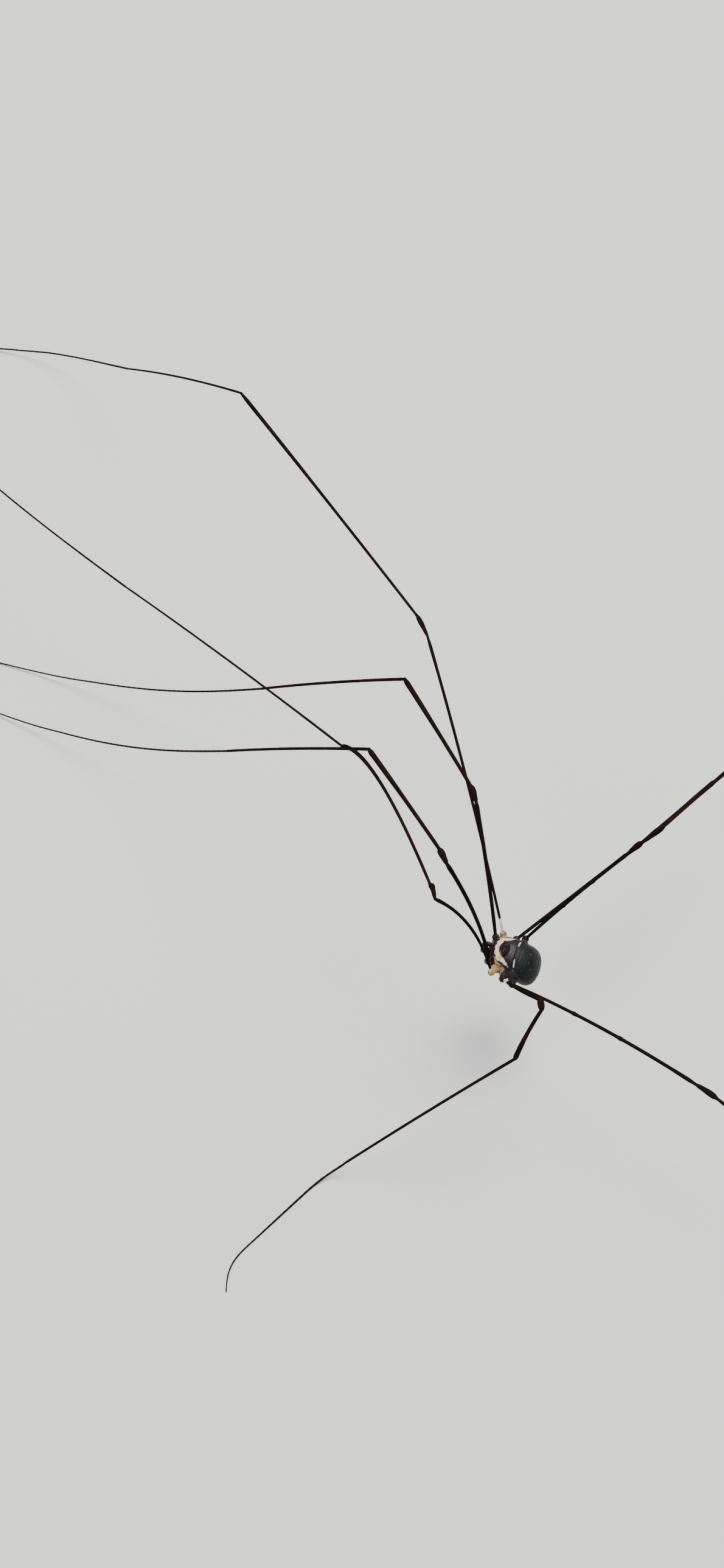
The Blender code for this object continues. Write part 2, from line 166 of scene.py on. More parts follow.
# each finger of the pincer: how far it leans inwards, and its reach
PINCER_FINGERS = ((0.3, 0.34), (-0.25, 0.3))
PINCER_RADII = (0.09, 0.065, 0.015)
PEDIPALP_PATH = (
    (0.66, -1.88, -0.8),
    (0.72, -2.06, -1.02),
    (0.76, -2.12, -1.28),
    (0.75, -1.97, -1.54),
    (0.7, -1.66, -1.76),
    (0.64, -1.3, -1.94),
    (0.58, -0.98, -2.06),
)
PEDIPALP_RADII = (0.14, 0.16, 0.17, 0.17, 0.15, 0.13, 0.06)
PEDIPALP_JOINTS = (0.17, 0.42, 0.56, 0.76)
PEDIPALP_BRISTLES = 150

# legs, numbered from the front
SEGMENTS = ("femur", "patella", "tibia", "metatarsus", "tarsus")
FEMUR_LENGTH = {1: 12.4, 2: 27.4, 3: 12.6, 4: 18.6}
PATELLA_LENGTH = {1: 1.5, 2: 2.0, 3: 1.5, 4: 2.0}
TIBIA_LENGTH = {1: 12.2, 2: 28.0, 3: 11.0, 4: 15.5}
METATARSUS_LENGTH = {1: 18.5, 2: 31.0, 3: 17.4, 4: 24.0}
TARSUS_LENGTH = {1: 38.0, 2: 50.0, 3: 15.7, 4: 34.0}
SOLID_FOOT_REST = 0.25 * math.cos(math.pi / 8)

# each segment's azimuth and elevation in degrees, the last azimuth of the
# foot, its curl, and how far femur, patella and tibia bow
POSE = {
    "left_1": {
        "femur": (-13.5, 69.5), "patella": (-53.5, 2.5), "tibia": (-47.0, -2.0),
        "metatarsus": (-16.6, -35.2), "toe": -12.0, "curl": 0.0, "bow": (0.045, 0.03, 0.01),
    },
    "right_1": {
        "femur": (62.0, 52.5), "patella": (61.0, 7.0), "tibia": (48.5, 5.0),
        "metatarsus": (15.0, -35.5), "toe": 4.0, "curl": 0.0, "bow": (0.045, 0.03, 0.01),
    },
    "left_2": {
        "femur": (73.2, 67.4), "patella": (-67.0, -27.0), "tibia": (-59.0, -29.0),
        "metatarsus": (-34.0, -10.5), "toe": -38.5, "curl": 0.0, "bow": (0.035, 0.2, 0.105),
    },
    "right_2": {
        "femur": (61.0, 24.0), "patella": (49.0, 19.0), "tibia": (40.0, 11.0),
        "metatarsus": (44.5, -36.0), "toe": -11.5, "curl": 0.0, "bow": (0.045, 0.03, 0.005),
    },
    "left_3": {
        "femur": (120.9, 49.9), "patella": (109.5, 23.0), "tibia": (-30.5, -78.0),
        "metatarsus": (36.0, -26.5), "toe": 60.0, "curl": 44.0, "bow": (-0.012, 0.22, 0.01),
    },
    "right_3": {
        "femur": (130.0, 12.4), "patella": (126.5, 6.0), "tibia": (118.0, -10.0),
        "metatarsus": (107.0, -32.0), "toe": 92.0, "curl": 0.0, "bow": (0.0, 0.03, 0.0),
    },
    "left_4": {
        "femur": (157.0, 7.5), "patella": (166.0, -19.5), "tibia": (152.0, -5.5),
        "metatarsus": (158.0, -20.5), "toe": 165.0, "curl": 0.0, "bow": (0.04, 0.03, 0.01),
    },
    "right_4": {
        "femur": (172.4, 61.5), "patella": (133.0, 17.5), "tibia": (114.0, -18.0),
        "metatarsus": (135.0, -50.0), "toe": 130.0, "curl": 0.0, "bow": (0.01, 0.03, 0.01),
    },
}
METATARSUS_BOW = 0.01
CURL_FROM = 0.7
# elevation of the last stretch of a foot that is held off the floor
RAISED = {"left_2": -4.0}

# true radii along each leg segment, as (share of the length, radius)
RADII = {
    "femur": ((0.0, 0.135), (0.03, 0.15), (0.12, 0.165), (0.85, 0.18), (0.96, 0.205), (1.0, 0.15)),
    "patella": ((0.0, 0.16), (0.2, 0.23), (0.7, 0.31), (0.9, 0.29), (1.0, 0.2)),
    "tibia": ((0.0, 0.15), (0.05, 0.17), (0.4, 0.18), (0.85, 0.235), (0.96, 0.25), (1.0, 0.17)),
    "metatarsus": ((0.0, 0.13), (0.02, 0.15), (0.3, 0.135), (0.98, 0.12), (1.0, 0.1)),
    "tarsus": ((0.0, 0.1), (0.3, 0.088), (0.8, 0.066), (1.0, 0.048)),
}
# how stout each pair of legs is against the radii above
STOUTNESS = {1: 1.0, 2: 0.78, 3: 0.95, 4: 0.88}
# how brown a segment is: at its near end, and the change to its far end
WARMTH = {
    "femur": (0.25, 0.0), "patella": (0.6, 0.0), "tibia": (0.75, -0.3),
    "metatarsus": (0.5, 0.0), "tarsus": (0.6, 0.0),
}
# pale ring near the root of a femur: distance along it and half length
PALE_RING = {"left_2": (0.75, 0.45), "right_2": (0.85, 0.5), "left_3": (1.35, 0.5)}
# swellings of the fourth femur, as shares of its length
NODULE_AT = (0.35, 0.6)
NODULE_HALF_LENGTH = 0.35
NODULE_SWELLING = 0.32
FALSE_JOINT_SPACING = 2.1
FOOT_JOINT = 0.62
FOOT_STEPS = 24
LEG_STEPS = {"femur": 80, "patella": 16, "tibia": 80, "metatarsus": 120}
LEG_SIDES = 12
SPINE_ROWS = 6
# share of the places for a spine that have one
SPINE_SHARE = {"femur": 0.55, "patella": 0.8, "tibia": 0.55}
FLOOR_CLEARANCE = 0.005

# colours, as (place in the noise, colour) from dark to light
SHIELD = ((0.3, (0.003, 0.0036, 0.0038)), (0.52, (0.007, 0.0078, 0.0082)), (0.75, (0.016, 0.0175, 0.018)))
PLUM = ((0.3, (0.011, 0.0075, 0.009)), (0.55, (0.026, 0.018, 0.02)), (0.8, (0.06, 0.044, 0.045)))
MAROON = ((0.3, (0.005, 0.0016, 0.002)), (0.55, (0.011, 0.003, 0.003)), (0.8, (0.04, 0.013, 0.009)))
TAN = ((0.25, (0.17, 0.085, 0.03)), (0.5, (0.4, 0.25, 0.115)), (0.75, (0.6, 0.42, 0.235)))
CREAM = ((0.25, (0.42, 0.28, 0.13)), (0.5, (0.74, 0.6, 0.35)), (0.8, (0.86, 0.76, 0.52)))
LILAC = (0.5, 0.47, 0.58)
TAN_BLOTCH = (0.1, 0.045, 0.022)
CREAM_BLOTCH = (0.3, 0.18, 0.1)
# the body's dark lines, also painted as shade in the groove along the shield's edge
DARK_LINE_AND_SHADE = (0.007, 0.006, 0.008)
LEG_BLACK = ((0.3, (0.004, 0.0038, 0.0035)), (0.55, (0.009, 0.008, 0.0075)), (0.8, (0.02, 0.017, 0.015)))
LEG_BROWN = ((0.3, (0.009, 0.0045, 0.0035)), (0.6, (0.02, 0.009, 0.0065)), (0.8, (0.038, 0.017, 0.011)))
LEG_PALE = ((0.3, (0.55, 0.45, 0.29)), (0.7, (0.83, 0.76, 0.58)))
MOUTH_TAN = ((0.28, (0.17, 0.08, 0.04)), (0.5, (0.42, 0.25, 0.14)), (0.76, (0.6, 0.42, 0.27)))
MOUTH_DARK = ((0.3, (0.008, 0.0035, 0.003)), (0.7, (0.03, 0.011, 0.008)))
EYE_BLACK = ((0.3, (0.003, 0.002, 0.003)), (0.75, (0.02, 0.008, 0.006)))
SPINE_HORN = ((0.3, (0.006, 0.005, 0.005)), (0.7, (0.03, 0.018, 0.012)))
FINE_HAIR = ((0.3, (0.02, 0.013, 0.01)), (0.7, (0.07, 0.045, 0.03)))
FLOOR_PAINT = ((0.3, (0.74, 0.74, 0.72)), (0.7, (0.78, 0.78, 0.76)))

# the camera's azimuth, elevation and roll in degrees
CAMERA_FACING = (98.0, 58.0, 5.0)
CAMERA_DISTANCE = 220.0
# the point that the camera shows at the given pixel of the picture
CAMERA_AIM = (0.0, 0.0, 10.0)
AIM_PIXEL = (857.0, 1574.0)
IMAGE = (1190, 2576)
FOCAL_PIXELS = 4180.0
SENSOR_MM = 36.0

# floor and lights, in metres and watts
FLOOR_HALF = 3.0
LIGHT_AIM = (0.0, 0.0, 0.01)
KEY_LIGHT = {"place": (-0.25, 0.12, 0.62), "size": 0.45, "power": 7.0, "colour": (1.0, 0.98, 0.95)}
FILL_LIGHT = {"place": (0.45, -0.35, 0.5), "size": 0.5, "power": 2.5, "colour": (0.95, 0.97, 1.0)}
SKY_COLOUR = (0.9, 0.94, 1.0, 1.0)
SKY_STRENGTH = 0.45


def body_matrix():
    head_up = Matrix.Rotation(math.radians(-BODY_HEAD_UP_DEG), 4, "X")
    lean = Matrix.Rotation(math.radians(BODY_LEAN_LEFT_DEG), 4, "Y")
    return Matrix.Translation(BODY_CENTRE) @ head_up @ lean


# the left eye's solid says where the animal's own frame lies in the shared one
BODY = body_matrix()
low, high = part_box("eye_left")
SHIFT = (low + high) / (2 * MM) - BODY @ Vector(EYE_CENTRE)


# Numbers and places


def smoothstep(x):
    x = min(1.0, max(0.0, x))
    return x * x * (3.0 - 2.0 * x)


def bell(x, width):
    return math.exp(-((x / width) ** 2))


def side_of(name):
    return 1 if name.startswith("left") else -1


def pair_of(name):
    return int(name[-1])


def direction(azimuth, elevation, side):
    az = math.radians(azimuth)
    el = math.radians(elevation)
    flat = math.cos(el)
    return Vector((side * math.sin(az) * flat, -math.cos(az) * flat, math.sin(el)))


def hip_of(name):
    """Centre of a leg's trochanter in body millimetres."""
    swung = Vector(TROCHANTER[pair_of(name)]) + Vector(HIP_SHIFT.get(name, (0.0, 0.0, 0.0)))
    return Vector((side_of(name) * swung.x, swung.y, swung.z))


def coxa_root(name):
    """Inner end of a leg's coxa in body millimetres."""
    root = COXA_ROOT[pair_of(name)]
    return Vector((side_of(name) * root[0], root[1], root[2]))


def placed(points, matrix=None):
    """Points in millimetres to metres in the shared frame."""
    out = []
    for p in points:
        q = matrix @ Vector(p) if matrix else Vector(p)
        out.append((q + SHIFT) * MM)
    return out


# Meshes


def new_piece(name, verts, faces, mat, smooth=True):
    mesh = bpy.data.meshes.new(name)
    mesh.from_pydata(verts, [], faces)
    mesh.validate()
    if smooth:
        mesh.shade_smooth()
    mesh.materials.append(mat)
    obj = bpy.data.objects.new(name, mesh)
    bpy.context.scene.collection.objects.link(obj)
    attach(obj, "root")
    return obj


def set_attribute(obj, name, values):
    attribute = obj.data.attributes.new(name, "FLOAT", "POINT")
    attribute.data.foreach_set("value", np.asarray(values, np.float32))


def add_shape(verts, faces, more_verts, more_faces):
    offset = len(verts)
    verts.extend(more_verts)
    faces.extend([tuple(i + offset for i in face) for face in more_faces])


def tube(points, radii, sides):
    """Closed tube along the points: vertices, faces, and each ring's frame."""
    pts = [Vector(p) for p in points]
    tangents = []
    for i in range(len(pts)):
        before = pts[max(0, i - 1)]
        after = pts[min(len(pts) - 1, i + 1)]
        tangents.append((after - before).normalized())
    normal = tangents[0].orthogonal().normalized()
    if abs(tangents[0].z) < 0.95:
        normal = tangents[0].cross(UP).normalized()
    verts = []
    frames = []
    for p, t, radius in zip(pts, tangents, radii):
        normal = (normal - t * normal.dot(t)).normalized()
        binormal = t.cross(normal)
        frames.append((p, t, normal, binormal, radius))
        for k in range(sides):
            turn = 2.0 * math.pi * k / sides
            verts.append(p + (normal * math.cos(turn) + binormal * math.sin(turn)) * radius)
    faces = []
    for i in range(len(pts) - 1):
        for k in range(sides):
            a = i * sides + k
            b = i * sides + (k + 1) % sides
            faces.append((a, b, b + sides, a + sides))
    last_ring = (len(pts) - 1) * sides
    first_cap = len(verts)
    cap_bulge = 0.4
    verts.append(pts[0] - tangents[0] * radii[0] * cap_bulge)
    verts.append(pts[-1] + tangents[-1] * radii[-1] * cap_bulge)
    for k in range(sides):
        faces.append(((k + 1) % sides, k, first_cap))
        faces.append((last_ring + k, last_ring + (k + 1) % sides, first_cap + 1))
    return verts, faces, frames


def curve_through(points, radii, per_span):
    """Smooth curve through the points, with radii eased between them."""
    pts = [Vector(p) for p in points]
    out = []
    sizes = []
    for i in range(len(pts) - 1):
        p0 = pts[max(0, i - 1)]
        p1 = pts[i]
        p2 = pts[i + 1]
        p3 = pts[min(len(pts) - 1, i + 2)]
        for k in range(per_span):
            t = k / per_span
            out.append(0.5 * ((2 * p1) + (p2 - p0) * t + (2 * p0 - 5 * p1 + 4 * p2 - p3) * t * t
                              + (3 * p1 - 3 * p2 + p3 - p0) * t ** 3))
            sizes.append(radii[i] + (radii[i + 1] - radii[i]) * smoothstep(t))
    out.append(pts[-1])
    sizes.append(radii[-1])
    return out, sizes


def cone(base, way, length, radius, verts, faces):
    """Adds one thin hair or tooth."""
    side = way.orthogonal().normalized()
    other = way.cross(side)
    n = len(verts)
    for k in range(3):
        turn = 2.0 * math.pi * k / 3.0
        verts.append(base + (side * math.cos(turn) + other * math.sin(turn)) * radius - way * radius)
    verts.append(base + way * length)
    faces.extend([(n, n + 1, n + 3), (n + 1, n + 2, n + 3), (n + 2, n, n + 3), (n + 2, n + 1, n)])


def ball(centre, size):
    """Closed ellipsoid in body millimetres."""
    bm = bmesh.new()
    bmesh.ops.create_icosphere(bm, subdivisions=4, radius=1.0)
    verts = []
    for v in bm.verts:
        p = Vector((v.co.x * size[0], v.co.y * size[1], v.co.z * size[2]))
        verts.append(p + Vector(centre))
    faces = [tuple(v.index for v in f.verts) for f in bm.faces]
    bm.free()
    return verts, faces


# Node materials


def node_material(name, roughness, specular, coat=0.0, coat_roughness=0.1):
    mat = bpy.data.materials.new(name)
    mat.use_nodes = True
    shader = mat.node_tree.nodes["Principled BSDF"]
    shader.inputs["Roughness"].default_value = roughness
    shader.inputs["Specular IOR Level"].default_value = specular
    shader.inputs["Coat Weight"].default_value = coat
    shader.inputs["Coat Roughness"].default_value = coat_roughness
    return mat, mat.node_tree, shader


def link(tree, a, b):
    tree.links.new(a, b)


def coordinates(tree):
    return tree.nodes.new("ShaderNodeTexCoord").outputs["Object"]


def noise_value(tree, scale, detail=4.0, roughness=0.55):
    node = tree.nodes.new("ShaderNodeTexNoise")
    node.inputs["Scale"].default_value = scale
    node.inputs["Detail"].default_value = detail
    node.inputs["Roughness"].default_value = roughness
    link(tree, coordinates(tree), node.inputs["Vector"])
    return node.outputs["Fac"]


def cells(tree, scale):
    node = tree.nodes.new("ShaderNodeTexVoronoi")
    node.inputs["Scale"].default_value = scale
    link(tree, coordinates(tree), node.inputs["Vector"])
    return node.outputs["Distance"]


def ramp(tree, value, stops):
    node = tree.nodes.new("ShaderNodeValToRGB")
    elements = node.color_ramp.elements
    while len(elements) < len(stops):
        elements.new(0.5)
    for element, (place, colour) in zip(elements, stops):
        element.position = place
        element.color = (*colour, 1.0)
    link(tree, value, node.inputs["Fac"])
    return node.outputs["Color"]


def math_node(tree, operation, a, b):
    node = tree.nodes.new("ShaderNodeMath")
    node.operation = operation
    for socket, value in zip(node.inputs, (a, b)):
        if isinstance(value, (int, float)):
            socket.default_value = value
        else:
            link(tree, value, socket)
    return node.outputs[0]


def map_range(tree, value, start, end, low_out=0.0, high_out=1.0):
    """Smooth step of a value from one range to another."""
    node = tree.nodes.new("ShaderNodeMapRange")
    node.interpolation_type = "SMOOTHSTEP"
    node.inputs["From Min"].default_value = start
    node.inputs["From Max"].default_value = end
    node.inputs["To Min"].default_value = low_out
    node.inputs["To Max"].default_value = high_out
    link(tree, value, node.inputs["Value"])
    return node.outputs["Result"]


def mix(tree, factor, a, b):
    node = tree.nodes.new("ShaderNodeMix")
    node.data_type = "RGBA"
    for socket, value in zip((node.inputs[0], node.inputs[6], node.inputs[7]), (factor, a, b)):
        if isinstance(value, tuple):
            socket.default_value = (*value, 1.0)
        else:
            link(tree, value, socket)
    return node.outputs[2]


def attribute(tree, name):
    node = tree.nodes.new("ShaderNodeAttribute")
    node.attribute_name = name
    return node.outputs["Fac"]


def mask(tree, name, grain, amount, softness=0.12):
    """A painted area whose edge is broken up by grain."""
    shifted = math_node(tree, "SUBTRACT", grain, 0.5)
    wobble = math_node(tree, "MULTIPLY", shifted, amount)
    value = math_node(tree, "ADD", attribute(tree, name), wobble)
    return map_range(tree, value, 0.5 - softness, 0.5 + softness)


def vary_roughness(tree, shader, value, smoothest, roughest):
    link(tree, map_range(tree, value, 0.25, 0.75, smoothest, roughest), shader.inputs["Roughness"])


def bump(tree, shader, height, strength, distance):
    node = tree.nodes.new("ShaderNodeBump")
    node.inputs["Strength"].default_value = strength
    node.inputs["Distance"].default_value = distance
    link(tree, height, node.inputs["Height"])
    link(tree, node.outputs["Normal"], shader.inputs["Normal"])


def body_material():
    mat, tree, shader = node_material("cuticle", roughness=0.5, specular=0.2, coat=0.03, coat_roughness=0.3)
    fine = noise_value(tree, scale=5200.0, detail=5.0, roughness=0.62)
    broad = noise_value(tree, scale=1500.0)
    blotches = noise_value(tree, scale=2700.0, detail=3.0, roughness=0.5)
    tan_blotches = map_range(tree, blotches, 0.5, 0.66, high_out=0.75)
    tan = mix(tree, tan_blotches, ramp(tree, fine, TAN), TAN_BLOTCH)
    cream_blotches = map_range(tree, blotches, 0.56, 0.7, high_out=0.7)
    cream = mix(tree, cream_blotches, ramp(tree, fine, CREAM), CREAM_BLOTCH)
    plum = ramp(tree, broad, PLUM)
    maroon = ramp(tree, fine, MAROON)

    colour = ramp(tree, broad, SHIELD)
    colour = mix(tree, mask(tree, "plum", fine, amount=0.5), colour, plum)
    colour = mix(tree, mask(tree, "tan", blotches, amount=1.4, softness=0.2), colour, tan)
    colour = mix(tree, mask(tree, "cream", fine, amount=1.3), colour, cream)
    # lilac: pale spots and a faint trail, with a painted highlight streak on the shield's front corners
    colour = mix(tree, mask(tree, "lilac", fine, amount=0.5, softness=0.25), colour, LILAC)
    colour = mix(tree, mask(tree, "maroon", fine, amount=0.5, softness=0.14), colour, maroon)
    # dark lines and bands, with painted shade in the groove along the shield's edge
    colour = mix(tree, mask(tree, "dark", broad, amount=0.25, softness=0.3), colour, DARK_LINE_AND_SHADE)
    link(tree, colour, shader.inputs["Base Color"])

    pebbles = math_node(tree, "MULTIPLY", cells(tree, scale=11000.0), 0.7)
    height = math_node(tree, "ADD", pebbles, math_node(tree, "MULTIPLY", fine, 0.6))
    bump(tree, shader, height, strength=0.3, distance=0.00003)
    vary_roughness(tree, shader, fine, 0.34, 0.62)
    return mat


def leg_material():
    mat, tree, shader = node_material("leg_cuticle", roughness=0.5, specular=0.0)
    fine = noise_value(tree, scale=3800.0, roughness=0.6)
    broad = noise_value(tree, scale=420.0, detail=3.0, roughness=0.5)
    colour = mix(tree, attribute(tree, "warm"), ramp(tree, fine, LEG_BLACK), ramp(tree, broad, LEG_BROWN))
    pale = ramp(tree, fine, LEG_PALE)
    colour = mix(tree, mask(tree, "pale", fine, amount=0.3, softness=0.15), colour, pale)
    link(tree, colour, shader.inputs["Base Color"])
    vary_roughness(tree, shader, fine, 0.4, 0.6)
    bump(tree, shader, cells(tree, scale=14000.0), strength=0.25, distance=0.00001)
    return mat


def mouth_material():
    mat, tree, shader = node_material("mouth_cuticle", roughness=0.45, specular=0.22, coat=0.03,
                                      coat_roughness=0.25)
    fine = noise_value(tree, scale=4200.0, roughness=0.6)
    dark = mask(tree, "dark", fine, amount=0.7, softness=0.15)
    colour = mix(tree, dark, ramp(tree, fine, MOUTH_TAN), ramp(tree, fine, MOUTH_DARK))
    link(tree, colour, shader.inputs["Base Color"])
    vary_roughness(tree, shader, fine, 0.32, 0.55)
    bump(tree, shader, cells(tree, scale=13000.0), strength=0.35, distance=0.00002)
    return mat


def eye_material():
    mat, tree, shader = node_material("eye_lens", roughness=0.16, specular=0.2, coat=0.12,
                                      coat_roughness=0.05)
    colour = ramp(tree, noise_value(tree, scale=2600.0, detail=2.0), EYE_BLACK)
    link(tree, colour, shader.inputs["Base Color"])
    return mat


def hair_material(name, stops):
    mat, tree, shader = node_material(name, roughness=0.5, specular=0.12)
    link(tree, ramp(tree, noise_value(tree, scale=2000.0), stops), shader.inputs["Base Color"])
    return mat


# Trunk


def trunk_value(y, column):
    """Smooth cubic value of one column of the trunk sections."""
    for i in range(len(TRUNK) - 1):
        if y <= TRUNK[i + 1][0] or i == len(TRUNK) - 2:
            y1 = TRUNK[i][0]
            y2 = TRUNK[i + 1][0]
            t = min(1.0, max(0.0, (y - y1) / (y2 - y1)))
            v1 = TRUNK[i][column]
            v2 = TRUNK[i + 1][column]
            before = TRUNK[max(0, i - 1)]
            after = TRUNK[min(len(TRUNK) - 1, i + 2)]
            m1 = (v2 - before[column]) / (y2 - before[0]) * (y2 - y1) if i else v2 - v1
            m2 = (after[column] - v1) / (after[0] - y1) * (y2 - y1)
            return ((2 * t ** 3 - 3 * t * t + 1) * v1 + (t ** 3 - 2 * t * t + t) * m1
                    + (3 * t * t - 2 * t ** 3) * v2 + (t ** 3 - t * t) * m2)


def trunk_piece():
    """Closed loft through the trunk sections, in body millimetres."""
    start = TRUNK[0][0]
    end = TRUNK[-1][0]
    verts = []
    for i in range(TRUNK_STATIONS + 1):
        y = start + (end - start) * 0.5 * (1.0 - math.cos(math.pi * i / TRUNK_STATIONS))
        width, top, rim, under = (trunk_value(y, column) for column in (1, 2, 3, 4))
        for k in range(TRUNK_SIDES):
            turn = 2.0 * math.pi * k / TRUNK_SIDES
            c = math.cos(turn)
            s = math.sin(turn)
            power = 2.0 / (TOP_POWER if s > 0 else UNDER_POWER)
            x = width * math.copysign(abs(c) ** power, c)
            height = (top - rim) if s > 0 else (rim - under)
            verts.append(Vector((x, y, rim + height * math.copysign(abs(s) ** power, s))))
    faces = []
    for i in range(TRUNK_STATIONS):
        for k in range(TRUNK_SIDES):
            a = i * TRUNK_SIDES + k
            b = i * TRUNK_SIDES + (k + 1) % TRUNK_SIDES
            faces.append((a, b, b + TRUNK_SIDES, a + TRUNK_SIDES))
    faces.append(tuple(reversed(range(TRUNK_SIDES))))
    faces.append(tuple(range(TRUNK_STATIONS * TRUNK_SIDES, (TRUNK_STATIONS + 1) * TRUNK_SIDES)))
    return verts, faces


def body_shapes():
    """Trunk, coxae, trochanters and rounded forms, each closed by itself."""
    shapes = [trunk_piece()]
    for name in POSE:
        root = coxa_root(name)
        hip = hip_of(name)
        line = [root.lerp(hip, share) for share in COXA_SHARES]
        points, radii = curve_through(line, COXA_RADII[pair_of(name)], 6)
        verts, faces, _ = tube(points, radii, 20)
        shapes.append((verts, faces))
        shapes.append(ball(hip, (TROCHANTER_RADIUS, TROCHANTER_RADIUS, TROCHANTER_RADIUS * 1.05)))
    for side in (1, -1):
        for (x, y, z), size in (SCENT_GLAND, MOUTH_PLATE, EYE_LOBE):
            shapes.append(ball((side * x, y, z), size))
    for centre, size in (EYE_MOUND, BREASTPLATE, BELLY):
        shapes.append(ball(centre, size))
    return shapes


def remeshed(shapes):
    """Mesh of one closed, smoothed skin round all the shapes, in millimetres."""
    mesh = bpy.data.meshes.new("union")
    verts = []
    faces = []
    for shape_verts, shape_faces in shapes:
        add_shape(verts, faces, shape_verts, shape_faces)
    mesh.from_pydata(verts, [], faces)
    bm = bmesh.new()
    bm.from_mesh(mesh)
    bmesh.ops.recalc_face_normals(bm, faces=bm.faces)
    bm.to_mesh(mesh)
    bm.free()
    obj = bpy.data.objects.new("union", mesh)
    bpy.context.scene.collection.objects.link(obj)
    modifier = obj.modifiers.new("skin", "REMESH")
    modifier.mode = "VOXEL"
    modifier.voxel_size = SKIN_VOXEL
    smoothing = obj.modifiers.new("smooth", "SMOOTH")
    smoothing.factor = 0.5
    smoothing.iterations = SKIN_SMOOTHING
    graph = bpy.context.evaluated_depsgraph_get()
    result = bpy.data.meshes.new_from_object(obj.evaluated_get(graph))
    bpy.data.objects.remove(obj, do_unlink=True)
    return result


# Values over the body's surface, one for each point of its skin


def rise(values, start, span):
    """0 up to start, and 1 from start + span on."""
    x = np.clip((values - start) / span, 0.0, 1.0)
    return x * x * (3.0 - 2.0 * x)


def fall(values, end, span):
    """1 up to end - span, and 0 from end on."""
    x = np.clip((end - values) / span, 0.0, 1.0)
    return x * x * (3.0 - 2.0 * x)


def bells(values, width):
    return np.exp(-((values / width) ** 2))


def area(distance, half_width, softness):
    """Paint value: 0.5 on the edge, rising inside."""
    return np.clip(0.5 + (half_width - distance) / softness, 0.0, 1.0)


def segment_distance(p, a, b):
    """Distance from each point to the line a-b, and the share along it."""
    d = b - a
    t = np.clip(((p - a) @ d) / (d @ d), 0.0, 1.0)
    return np.linalg.norm(p - (a + t[:, None] * d), axis=1), t


def path_distance(p, path):
    """Distance from each point to a path, and the place along it in its points."""
    best = np.full(len(p), 1e9)
    place = np.zeros(len(p))
    for i in range(len(path) - 1):
        dist, t = segment_distance(p, np.array(path[i], float), np.array(path[i + 1], float))
        nearer = dist < best
        best = np.where(nearer, dist, best)
        place = np.where(nearer, i + t, place)
    return best, place


def vertex_values(mesh, key):
    values = np.zeros(len(mesh.vertices) * 3)
    mesh.vertices.foreach_get(key, values)
    return values.reshape(-1, 3)


def surface_fields(co, normals):
    """What carving and painting both need to know of each point."""
    far_away = 9.0
    near_hip = {number: np.full(len(co), far_away) for number in COXA_ROOT}
    near_coxa = {number: np.full(len(co), far_away) for number in COXA_ROOT}
    for name in POSE:
        number = pair_of(name)
        hip = np.array(hip_of(name))
        root = np.array(coxa_root(name)) * COXA_SHOWS_FROM
        near_hip[number] = np.minimum(near_hip[number], np.linalg.norm(co - hip, axis=1))
        near_coxa[number] = np.minimum(near_coxa[number], segment_distance(co, root, hip)[0])
    x, y, z = co.T
    return SimpleNamespace(
        x=x, y=y, z=z,
        ax=np.abs(x),
        near_coxa=near_coxa,
        any_hip=np.minimum.reduce(list(near_hip.values())),
        black_hip=np.minimum.reduce([near_hip[1], near_hip[3], near_hip[4]]),
        on_back=rise(normals[:, 2], 0.05, 0.4) * rise(z, 0.15, 0.3),
        behind=rise(y, -0.45, 0.2),
        from_carapace=y - 0.1 * np.abs(x) ** 2 - CARAPACE_END_Y,
        edge_z=np.interp(y, *zip(*SHIELD_EDGE)),
    )


def carved(co, normals, f):
    """The skin's points with grooves, furrows, plates and fine relief."""

    def groove(distance, depth, width):
        return -depth * bells(distance, width)

    move = groove(f.from_carapace, depth=0.05, width=0.07) * f.on_back
    for at in SCUTUM_GROOVES_Y:
        from_groove = f.y - (at - 0.05 * f.ax ** 2)
        move += groove(from_groove, depth=0.009, width=0.05) * f.on_back
        move -= groove(from_groove - 0.12, depth=0.004, width=0.09) * f.on_back
    move += groove(f.z - f.edge_z, depth=0.04, width=0.06) * f.behind * (f.any_hip > 0.45)
    # scalloped edges of the last plates
    scallops = np.maximum(0.0, np.sin(PLATE_SCALLOPS * np.arctan2(f.x, f.z + 0.4)))
    move += 0.006 * rise(f.y, 1.5, 0.4) * scallops
    # furrow between the two eye lobes, and knobs on them
    mound = bells(f.y - EYE_MOUND_Y, 0.5)
    move += groove(f.ax, depth=0.05, width=0.09) * mound * rise(f.z, 0.7, 0.15)
    grain = np.array([noise.noise(Vector(p) * 5.0) for p in co])
    knobs = np.array([noise.noise(Vector(p) * 9.0) for p in co])
    move += 0.006 * grain + 0.05 * knobs * mound * rise(f.z, 0.62, 0.15) * (f.ax < 0.75)
    return co + normals * move[:, None]


